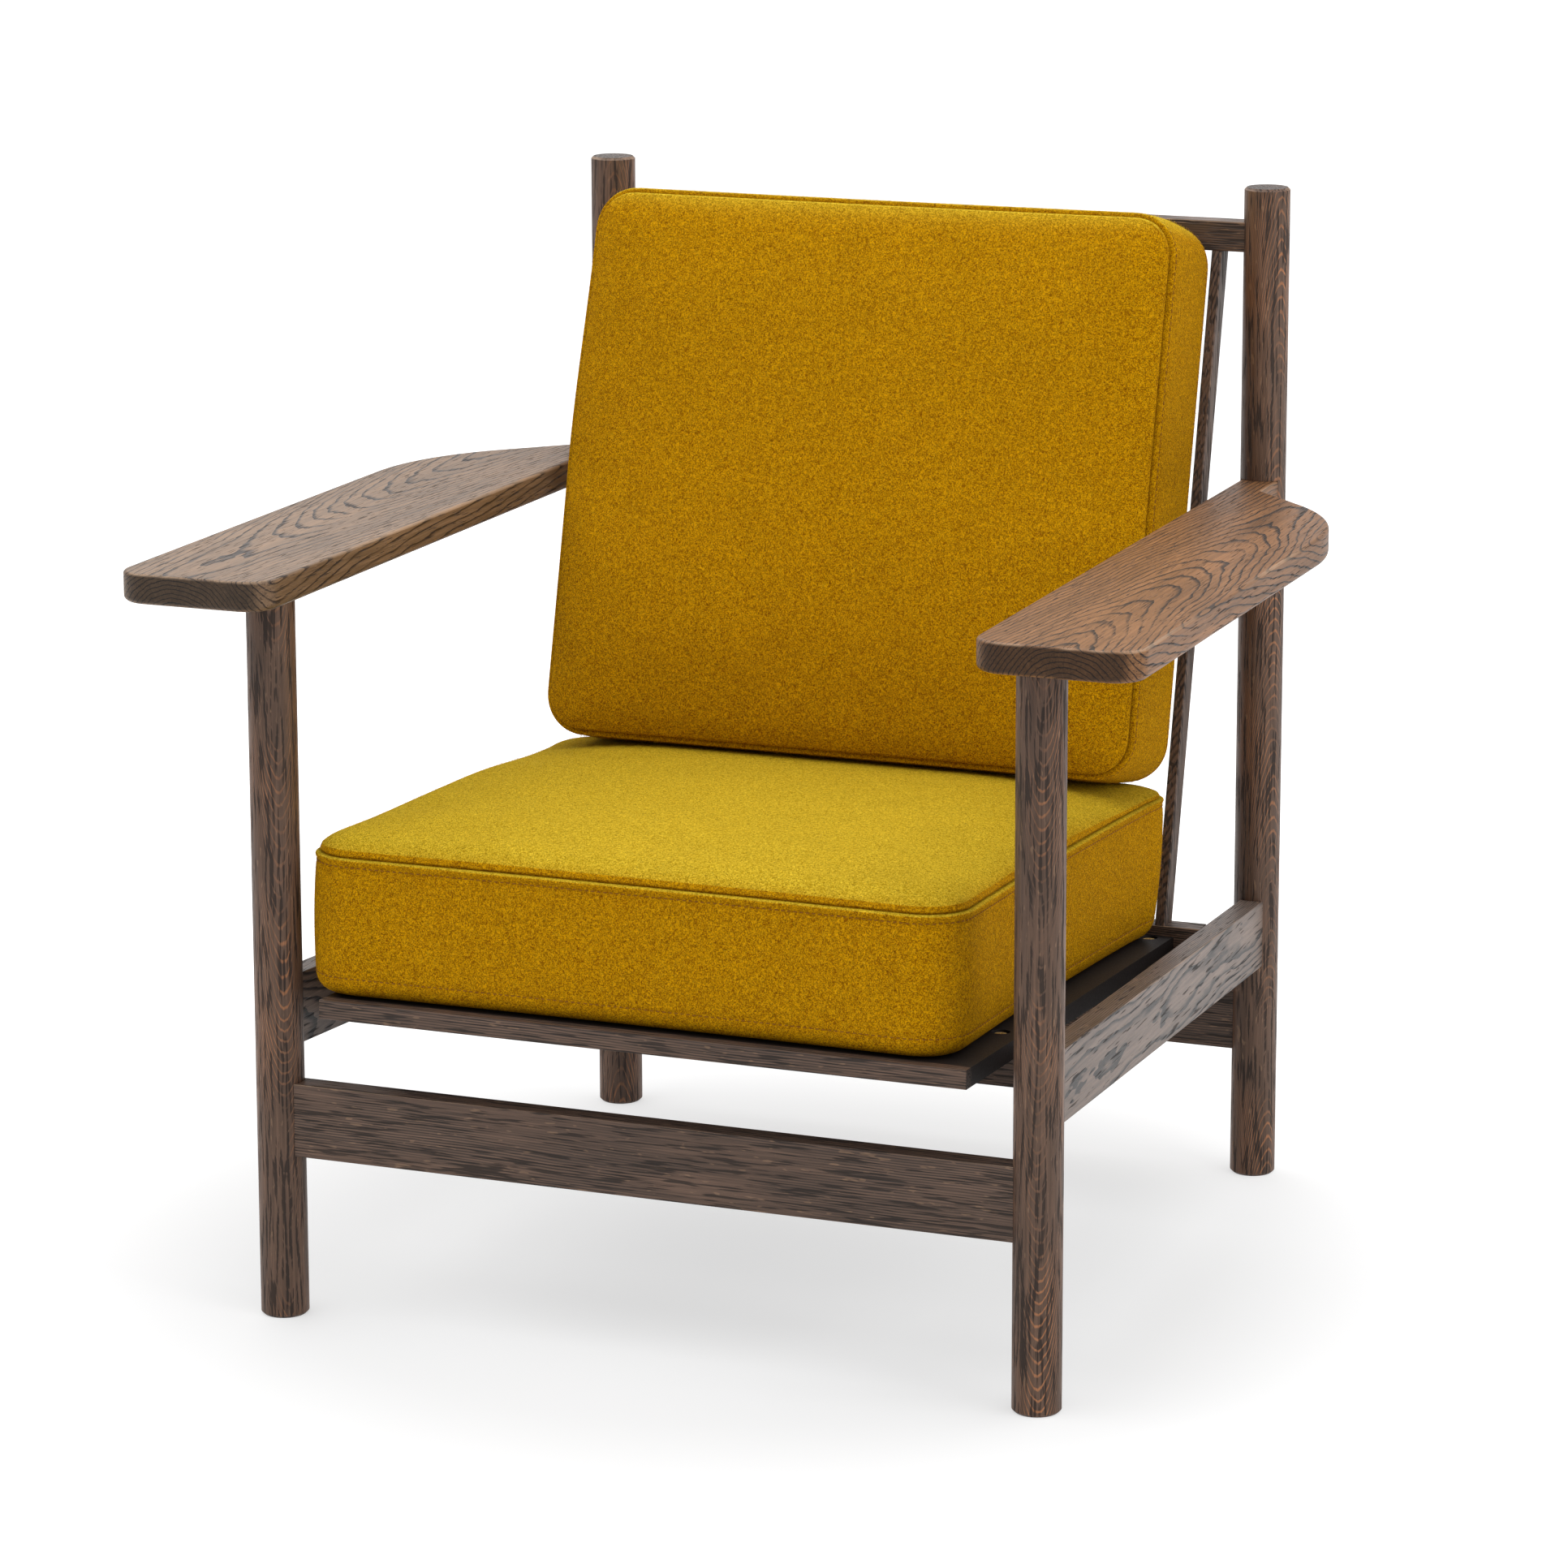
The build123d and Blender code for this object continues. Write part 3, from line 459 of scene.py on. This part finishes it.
def ring_points(half_width, half_depth, corner, draw_in):
    """Points round a rounded rectangle whose sides draw in, as many on each of its four sides."""
    def side(half_run, half_across):
        arc = corner * math.pi / 4
        straight = half_run - corner
        run = np.arange(panel_cells) / panel_cells * (2 * arc + 2 * straight)
        first = run < arc
        last = run > arc + 2 * straight
        turn = np.where(first, math.radians(225) + run / corner,
                        math.radians(270) + (run - arc - 2 * straight) / corner)
        place = np.clip(run - arc - straight, -straight, straight)
        bend = first | last
        along = np.where(bend, np.sign(place) * straight + corner * np.cos(turn), place)
        pulled = draw_in * (1 - (place / straight) ** 2)
        out = np.where(bend, corner - half_across + corner * np.sin(turn), pulled - half_across)
        return along, out

    front, side_out = side(half_width, half_depth), side(half_depth, half_width)
    quarters = [(front[0], front[1]), (-side_out[1], side_out[0]),
                (-front[0], -front[1]), (side_out[1], -side_out[0])]
    return np.concatenate([np.stack(quarter, 1) for quarter in quarters])


def panel_points(ring):
    """Fill a ring with a grid of points, spread evenly from its four sides."""
    n = panel_cells
    closed = np.vstack([ring, ring[:1]])
    low, right, high, left = (closed[k * n:(k + 1) * n + 1] for k in range(4))
    high, left = high[::-1], left[::-1]
    s = (np.arange(n + 1) / n)[:, None, None]
    t = (np.arange(n + 1) / n)[None, :, None]
    ruled = (1 - t) * low[:, None] + t * high[:, None] + (1 - s) * left[None] + s * right[None]
    corners = ((1 - s) * ((1 - t) * low[0] + t * high[0]) + s * ((1 - t) * low[-1] + t * high[-1]))
    return ruled - corners


def panel_numbers(rim, inner_start):
    """Vertex numbers of a panel's grid: its rim is a ring that exists, the rest is new."""
    n = panel_cells
    numbers = np.zeros((n + 1, n + 1), int)
    numbers[1:n, 1:n] = inner_start + np.arange((n - 1) ** 2).reshape(n - 1, n - 1)
    closed = np.append(rim, rim[0])
    numbers[:, 0] = closed[0:n + 1]
    numbers[n, :] = closed[n:2 * n + 1]
    numbers[:, n] = closed[2 * n:3 * n + 1][::-1]
    numbers[0, :] = closed[3 * n:4 * n + 1][::-1]
    return numbers


def closed_mesh(rings, top, bottom):
    """Points and faces of a cushion from its rings and its two panels' inner points."""
    count, around = rings.shape[:2]
    n = panel_cells
    points = np.vstack([rings.reshape(-1, 3), top[1:n, 1:n].reshape(-1, 3), bottom[1:n, 1:n].reshape(-1, 3)])
    ring_numbers = np.arange(count * around).reshape(count, around)
    following = np.roll(ring_numbers, -1, axis=1)
    upper = panel_numbers(ring_numbers[0], count * around)
    lower = panel_numbers(ring_numbers[-1], count * around + (n - 1) ** 2)
    faces = [np.stack([ring_numbers[:-1], ring_numbers[1:], following[1:], following[:-1]], -1),
             np.stack([upper[:-1, :-1], upper[1:, :-1], upper[1:, 1:], upper[:-1, 1:]], -1),
             np.stack([lower[:-1, :-1], lower[:-1, 1:], lower[1:, 1:], lower[1:, :-1]], -1)]
    return points, np.vstack([part.reshape(-1, 4) for part in faces])


def mesh_object(name, points, faces, material):
    """A smooth-shaded mesh object in the scene."""
    mesh = bpy.data.meshes.new(name)
    mesh.from_pydata(points.tolist(), [], [list(face) for face in faces])
    mesh.materials.append(material)
    mesh.shade_smooth()
    piece = bpy.data.objects.new(name, mesh)
    bpy.context.scene.collection.objects.link(piece)
    return piece


def swell(points, faces, held):
    """How far each point moves when the felt is blown up from inside, with the held points kept."""
    piece = mesh_object("swelling", points, faces, felt_material)
    group = piece.vertex_groups.new(name="held")
    group.add(np.flatnonzero(held).tolist(), 1.0, "REPLACE")
    cloth = piece.modifiers.new("cloth", "CLOTH")
    cloth.settings.use_pressure = True
    cloth.settings.uniform_pressure_force = sim_pressure
    cloth.settings.vertex_group_mass = "held"
    cloth.settings.effector_weights.gravity = 0.0
    cloth.point_cache.frame_start = 1
    cloth.point_cache.frame_end = sim_frames
    scene = bpy.context.scene
    for number in range(1, sim_frames + 1):
        scene.frame_set(number)
    shaped = piece.evaluated_get(bpy.context.evaluated_depsgraph_get())
    after = np.array([v.co for v in shaped.data.vertices], float)
    scene.frame_set(1)
    bpy.data.objects.remove(piece)
    moved = after - points
    length = np.linalg.norm(moved, axis=1, keepdims=True)
    moved *= np.minimum(1.0, sim_cap / np.maximum(length, 1e-9))
    return evened(moved, faces, held)


def evened(moved, faces, held):
    """The same movement with its small wrinkles averaged out between neighbours."""
    start, end = faces.ravel(), np.roll(faces, -1, axis=1).ravel()
    links = np.bincount(start, minlength=len(moved))[:, None]
    for _ in range(sim_smoothing):
        around = np.stack([np.bincount(start, moved[end, axis], len(moved)) for axis in range(3)], 1)
        moved = np.where(held[:, None], moved, 0.5 * moved + 0.5 * around / links)
    return moved


def bell(place, middle, width):
    return np.exp(-((place - middle) / width) ** 2)


class Cushion:
    """A boxed cushion, in its own frame: a crowned panel over a seam, a border, and a flat underside."""

    def __init__(self, name, run, up, seam_height, corner, draw_in, inset, roll, rise, crown,
                 taper=0.0, sag=0.0, droop=0.0, lean=0.0, longer=0.0, pointed=0.0, narrow=0.0):
        self.name = name
        self.axes = np.array([(1, 0, 0), run, up], float)
        local = coordinates(nodes[name + "_cover"]) @ self.axes.T
        low, high = local.min(0), local.max(0)
        self.origin = np.array([(low[0] + high[0]) / 2, (low[1] + high[1]) / 2, low[2] + rest_gap])
        self.half = (high - low)[:2] / 2
        self.corner, self.draw_in, self.inset = corner, draw_in, inset
        self.roll, self.rise, self.crown = roll, rise, crown
        self.taper, self.sag, self.droop, self.lean = taper, sag, droop, lean
        self.longer, self.pointed, self.narrow = longer, pointed, narrow
        self.seam_height = seam_height
        self.hem_place = self.seam_height - hem_height

    def profile(self):
        """Inset and height down the side: the panel's roll, the border and the round into the underside."""
        turn = np.linspace(math.pi / 2, 0, roll_steps, endpoint=False)
        top = np.stack([self.inset + self.roll * (1 - np.cos(turn)),
                        self.seam_height + self.rise * np.sin(turn)], 1)
        share = np.linspace(0, 1, border_steps, endpoint=False)
        drop = (self.seam_height - foot_round) * share
        side = np.stack([self.inset * np.exp(-drop / border_flare) - border_bulge * np.sin(math.pi * share),
                         self.seam_height - drop], 1)
        turn = np.linspace(0, math.pi / 2, foot_steps)
        foot = np.stack([foot_round * (1 - np.cos(turn)), foot_round * (1 - np.sin(turn))], 1)
        return np.vstack([top, side, foot])

    def crown_at(self, flat):
        """How far the crown lifts points of the panel: high until near the edge."""
        span = np.clip(np.abs(flat) / (self.half - self.inset), 0, 1)
        return self.crown * (1 - span[..., 0] ** crown_power) * (1 - span[..., 1] ** crown_power)

    def shaped(self, points):
        """The loose cushion's own shape: its far end is deeper, sags, droops, leans, grows or narrows."""
        points = points.copy()
        aside, depth = points[..., 0] / self.half[0], points[..., 1] / self.half[1]
        above = np.clip((points[..., 2] - self.seam_height) / self.rise, 0, 1)
        corner = smooth_step(np.abs(aside), *corner_span) * smooth_step(depth, *corner_span)
        drooping = above * smooth_step(depth, *droop_span) * smooth_step(np.abs(aside), *droop_edge)
        points[..., 2] *= 1 + self.taper * depth
        points[..., 2] -= self.sag * above * smooth_step(depth, *sag_span)
        points[..., 2] -= self.droop * drooping
        points[..., 1] += self.lean * points[..., 2] * smooth_step(depth, *lean_span)
        points[..., 1] += self.longer * smooth_step(depth, *longer_span) + self.pointed * corner
        points[..., 0] += self.pointed * corner * np.sign(aside)
        points[..., 0] += self.narrow * smooth_step(depth, *narrow_span) * (1 - aside) / 2
        return points

    def form(self):
        """Rings of points down the profile, and the grids of the panel and the underside."""
        rings = []
        for level, (inset, height) in enumerate(self.profile()):
            half = self.half - inset
            corner = max(self.corner - inset, self.corner * least_corner)
            flat = ring_points(half[0], half[1], corner, self.draw_in)
            lift = self.crown_at(flat) if level < roll_steps else 0.0
            rings.append(np.column_stack([flat, np.full(len(flat), height) + lift]))
        flat = panel_points(rings[0][:, :2])
        top = np.dstack([flat, self.seam_height + self.rise + self.crown_at(flat)])
        flat = panel_points(rings[-1][:, :2])
        bottom = np.dstack([flat, np.zeros(flat.shape[:2])])
        return self.shaped(np.array(rings)), self.shaped(top), self.shaped(bottom)

    def swollen(self, rings, top, bottom):
        """The form after the felt swells, with its seam and its underside held."""
        points, faces = closed_mesh(rings, top, bottom)
        count, around = rings.shape[:2]
        held = points[:, 2] < foot_round
        held[roll_steps * around:(roll_steps + 1) * around] = True
        moved = swell(self.world(points), faces, held) @ self.axes.T
        rings = rings + moved[:count * around].reshape(rings.shape)
        top = top.copy()
        inner = (panel_cells - 1) ** 2
        top[1:-1, 1:-1] += moved[count * around:count * around + inner].reshape(panel_cells - 1, -1, 3)
        return rings, top, bottom

    def sewn(self, rings):
        """Finer rings with the seam and stitch lines pressed in, their places below the seam, and normals."""
        drawn = self.profile()
        length = np.concatenate([[0], np.cumsum(np.linalg.norm(np.diff(drawn, axis=0), axis=1))])
        seam = length[roll_steps]
        near_seam, near_hem = seam + np.arange(*seam_rings), seam + self.hem_place + np.arange(*hem_rings)
        fine = np.unique(np.round(np.concatenate([length, near_seam, near_hem]), 5))
        flat = rings.reshape(len(rings), -1)
        rings = np.array([np.interp(fine, length, column) for column in flat.T]).T.reshape(len(fine), -1, 3)
        down = fine - seam
        relief = ridge_height * bell(down, ridge_place, ridge_width)
        relief -= groove_depth * bell(down, 0.0, groove_width)
        for place in (stitch_place, self.hem_place):
            relief -= stitch_dip * bell(down, place, stitch_dip_width)
        sideways = np.roll(rings, -1, axis=1) - np.roll(rings, 1, axis=1)
        normals = unit(np.cross(np.gradient(rings, axis=0), sideways))
        return rings + normals * relief[:, None, None], down, normals

    def crease(self, down, around, count):
        """How deep in the seam each of the mesh's points lies, from 0 to 1, as the mask of the seam's painted
        shade.
        """
        depth = np.zeros(count)
        depth[:len(down) * around] = np.repeat(bell(down, 0.0, seam_shade_width), around)
        return depth

    def world(self, points):
        return (points + self.origin) @ self.axes


def pressed(points, up, above_points, above_faces):
    """The points, with those under another cushion pushed down until they are clear of it."""
    above = BVHTree.FromPolygons(above_points.tolist(), above_faces.tolist())
    points = points.copy()
    for number, point in enumerate(points):
        distance = above.ray_cast(Vector(point) - up * press_reach, up, 2 * press_reach)[3]
        if distance is not None and distance < press_reach + press_gap:
            points[number] += np.array(up) * (distance - press_reach - press_gap)
    return points


def stitches(line, normals):
    """Points and faces of a row of short thread stitches lying on the felt along a closed line."""
    line, normals = np.vstack([line, line[:1]]), np.vstack([normals, normals[:1]])
    length = np.concatenate([[0], np.cumsum(np.linalg.norm(np.diff(line, axis=0), axis=1))])
    count = int(length[-1] / stitch_pitch)
    starts = np.arange(count) * length[-1] / count
    places = starts[:, None] + stitch_shares * stitch_length

    def along(values):
        return np.stack([np.interp(places, length, values[:, axis]) for axis in range(3)], -1)

    centres, outward = along(line), unit(along(normals))
    heading = unit(centres[:, -1:] - centres[:, :1])
    across = np.cross(heading, outward)
    centres += outward * (thread_radius * stitch_lift)[:, None]
    sides, levels = thread_sides, len(stitch_shares)
    turns = np.arange(sides) * 2 * math.pi / sides
    spokes = across[:, :, None] * np.cos(turns)[:, None] + outward[:, :, None] * np.sin(turns)[:, None]
    points = centres[:, :, None] + spokes * (thread_radius * stitch_thickness)[:, None, None]
    faces = []
    for base in range(0, count * levels * sides, levels * sides):
        for level in range(levels - 1):
            ring = base + level * sides
            faces += [(ring + k, ring + (k + 1) % sides, ring + sides + (k + 1) % sides, ring + sides + k)
                      for k in range(sides)]
        faces.append(tuple(range(base + sides - 1, base - 1, -1)))
        faces.append(tuple(range(base + (levels - 1) * sides, base + levels * sides)))
    return points.reshape(-1, 3), faces


def fuzz(points, faces, normals_up):
    """Points and faces of loose bent fibres that stand off the felt, as thin tapered ribbons."""
    rng = np.random.default_rng(fuzz_seed)
    corner = points[faces]
    normal = np.cross(corner[:, 2] - corner[:, 0], corner[:, 3] - corner[:, 1])
    area = np.linalg.norm(normal, axis=1)
    shown = area * (unit(normal) @ normals_up > fuzz_facing)
    chosen = rng.choice(len(faces), fuzz_count, p=shown / shown.sum())
    s, t = rng.random((2, fuzz_count, 1))
    quad = corner[chosen]
    root = (quad[:, 0] * (1 - s) + quad[:, 1] * s) * (1 - t) + (quad[:, 3] * (1 - s) + quad[:, 2] * s) * t
    outward = unit(normal[chosen])
    lean = unit(np.cross(outward, rng.normal(size=(fuzz_count, 3))))
    across = np.cross(outward, lean) * fuzz_width / 2
    long = rng.uniform(*fuzz_length, (fuzz_count, 1))
    middle = root + (outward * fuzz_bend_rise + lean * fuzz_bend_lean) * long
    tip = root + (outward * rng.uniform(*fuzz_tip_rise, (fuzz_count, 1)) + lean) * long
    narrower = across * fuzz_bend_width
    strands = np.stack([root - across, root + across, middle + narrower, middle - narrower, tip], 1)
    base = np.arange(fuzz_count) * 5
    quads = np.stack([base, base + 1, base + 2, base + 3], 1)
    end_stain_and_shade = np.stack([base + 3, base + 2, base + 4], 1)
    return strands.reshape(-1, 3), quads.tolist() + end_stain_and_shade.tolist()


slide = next(j for j in frame["joints"] if j["name"] == "seat_cushion_out")
deck_run = -Vector(slide["axis"]).normalized()
deck_up = Vector((1, 0, 0)).cross(deck_run)
slat_points = coordinates(nodes["back_slat_5"])
slat_run = Vector(np.linalg.svd(slat_points - slat_points.mean(0), full_matrices=False)[2][0])
if slat_run.z < 0:
    slat_run = -slat_run
slat_out = Vector((1, 0, 0)).cross(slat_run)

seat = Cushion("seat_cushion", deck_run, deck_up, seam_height=0.114, corner=0.040, draw_in=0.003,
               inset=0.002, roll=0.036, rise=0.018, crown=0.0, taper=0.022, sag=0.003, droop=0.008,
               lean=0.15, pointed=0.009)
back = Cushion("back_cushion", slat_run, slat_out, seam_height=0.110, corner=0.034, draw_in=0.0005,
               inset=0.003, roll=0.044, rise=0.012, crown=0.008, longer=0.004, narrow=0.008)

meshes = {}
for cushion in (back, seat):
    form = cushion.form()
    form = cushion.swollen(*form)
    rings, down, normals = cushion.sewn(form[0])
    points, faces = closed_mesh(rings, *form[1:])
    points = cushion.world(points)
    if cushion is seat:
        points = pressed(points, deck_up, *meshes[back])
    meshes[cushion] = points, faces
    piece = mesh_object(cushion.name, points, faces, felt_material)
    # The mask of the seam's painted shade, carried on the mesh for the felt
    crease = piece.data.attributes.new("crease", "FLOAT", "POINT")
    crease.data.foreach_set("value", cushion.crease(down, rings.shape[1], len(points)))
    smooth = piece.modifiers.new("smooth", "SUBSURF")
    smooth.levels = smooth.render_levels = 1
    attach(piece, cushion.name)
    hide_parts(cushion.name + "_cover", cushion.name + "_foam")

    ring_count, around = rings.shape[:2]
    placed = points[:ring_count * around].reshape(rings.shape)
    for label, place in (("_topstitch", stitch_place), ("_hemstitch", cushion.hem_place)):
        row = int(np.argmin(np.abs(down - place)))
        row_points, row_faces = stitches(placed[row], normals[row] @ cushion.axes)
        sewn = mesh_object(cushion.name + label, row_points, row_faces, thread_material)
        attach(sewn, cushion.name)
    fibres = mesh_object(cushion.name + "_fuzz", *fuzz(points, faces, cushion.axes[2]), felt_material)
    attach(fibres, cushion.name)


# ---------------------------------------------------------------- floor, light and camera

def seen_rays(t):
    """1 for rays that show the surface itself: from the camera, in gloss or through glass."""
    rays = t.add("LightPath")
    seen = t.math("MAXIMUM", rays.outputs["Is Camera Ray"], rays.outputs["Is Glossy Ray"])
    return t.math("MAXIMUM", seen, rays.outputs["Is Transmission Ray"])


# Floor: half its width, its greys as it lights the chair and as it is seen, the middle of the shadow painted
# into its glow round the chair, its glow there, and how that glow changes further out (from, to, by how
# much), which paints a shadow round the chair
floor_half = 12.0
floor_greys = (0.86, 0.86, 0.86, 1), (0.9, 0.9, 0.9, 1)
floor_seen_grey = (0.33, 0.33, 0.33, 1)
painted_shadow_middle = (-0.033, -0.055, 0.0)
painted_shadow_glow = 0.64
painted_shadow_glow_changes = (0.2, 0.38, -0.08), (0.36, 1.0, 0.43)

# Strength of the white world as light, and as the background that is seen
sky_light, sky_seen = 0.37, 1.0


def floor_material(name):
    """Pale studio floor that keeps the chair's shadow, with a shadow painted into its glow round the chair,
    and reads white to the camera.
    """
    t = Tree(name)
    mottle = t.noise(t.place, 3.0, 2.0)
    distance = t.add("VectorMath", {0: t.place, 1: painted_shadow_middle}, operation="DISTANCE").outputs["Value"]
    # Painted shadow: the floor's glow is lower round the chair and rises outwards to white
    glow = painted_shadow_glow
    for start, end, change in painted_shadow_glow_changes:
        glow = t.math("MULTIPLY_ADD", t.ramp_up(distance, start, end), change, glow)
    seen = seen_rays(t)
    pale = t.mix(mottle, *floor_greys)
    t.set(Base_Color=t.mix(seen, pale, floor_seen_grey), Roughness=0.9, Specular_IOR_Level=0.0,
          Emission_Color=(1, 1, 1, 1), Emission_Strength=t.math("MULTIPLY", seen, glow))
    return t.material


floor_points = np.array([(-1, -1, 0), (1, -1, 0), (1, 1, 0), (-1, 1, 0)], float) * floor_half
floor = mesh_object("floor", floor_points, [(0, 1, 2, 3)], floor_material("studio_floor"))

world = bpy.data.worlds.new("studio")
bpy.context.scene.world = world
world.use_nodes = True
sky_nodes, sky_links = world.node_tree.nodes, world.node_tree.links
background = sky_nodes["Background"]
background.inputs["Color"].default_value = (1, 1, 1, 1)
rays = sky_nodes.new("ShaderNodeLightPath")
seen = rays.outputs["Is Camera Ray"]
for name in ("Is Glossy Ray", "Is Transmission Ray"):
    either = sky_nodes.new("ShaderNodeMath")
    either.operation = "MAXIMUM"
    sky_links.new(seen, either.inputs[0])
    sky_links.new(rays.outputs[name], either.inputs[1])
    seen = either.outputs[0]
strength = sky_nodes.new("ShaderNodeMapRange")
strength.inputs["To Min"].default_value = sky_light
strength.inputs["To Max"].default_value = sky_seen
sky_links.new(seen, strength.inputs["Value"])
sky_links.new(strength.outputs[0], background.inputs["Strength"])


def softbox(name, place, target, size, power):
    """A square area lamp turned to a point."""
    lamp = bpy.data.lights.new(name, "AREA")
    lamp.size = size
    lamp.energy = power
    holder = bpy.data.objects.new(name, lamp)
    holder.location = place
    holder.rotation_euler = (Vector(target) - Vector(place)).to_track_quat("-Z", "Y").to_euler()
    bpy.context.scene.collection.objects.link(holder)


chair_middle = (0, 0, 0.45)
softbox("top_light", (-0.4, 0.1, 3.4), chair_middle, size=7.0, power=288.0)
softbox("right_light", (3.0, -0.6, 1.8), chair_middle, size=2.0, power=37.0)

turn, tip = math.radians(camera_azimuth), math.radians(camera_pitch)
forward = Vector((-math.sin(turn) * math.cos(tip), math.cos(turn) * math.cos(tip), -math.sin(tip)))
right = Vector((math.cos(turn), math.sin(turn), 0))
upward = right.cross(forward)
lens = bpy.data.cameras.new("camera")
lens.sensor_width = sensor_width
lens.lens = focal_pixels / picture_size * sensor_width
lens.shift_x, lens.shift_y = camera_shift
lens.clip_end = view_reach
camera = bpy.data.objects.new("camera", lens)
turned = Matrix((right, upward, -forward)).transposed().to_4x4()
camera.matrix_world = Matrix.Translation(camera_place) @ turned
bpy.context.scene.collection.objects.link(camera)
bpy.context.scene.camera = camera
bpy.context.scene.view_settings.view_transform = "Standard"
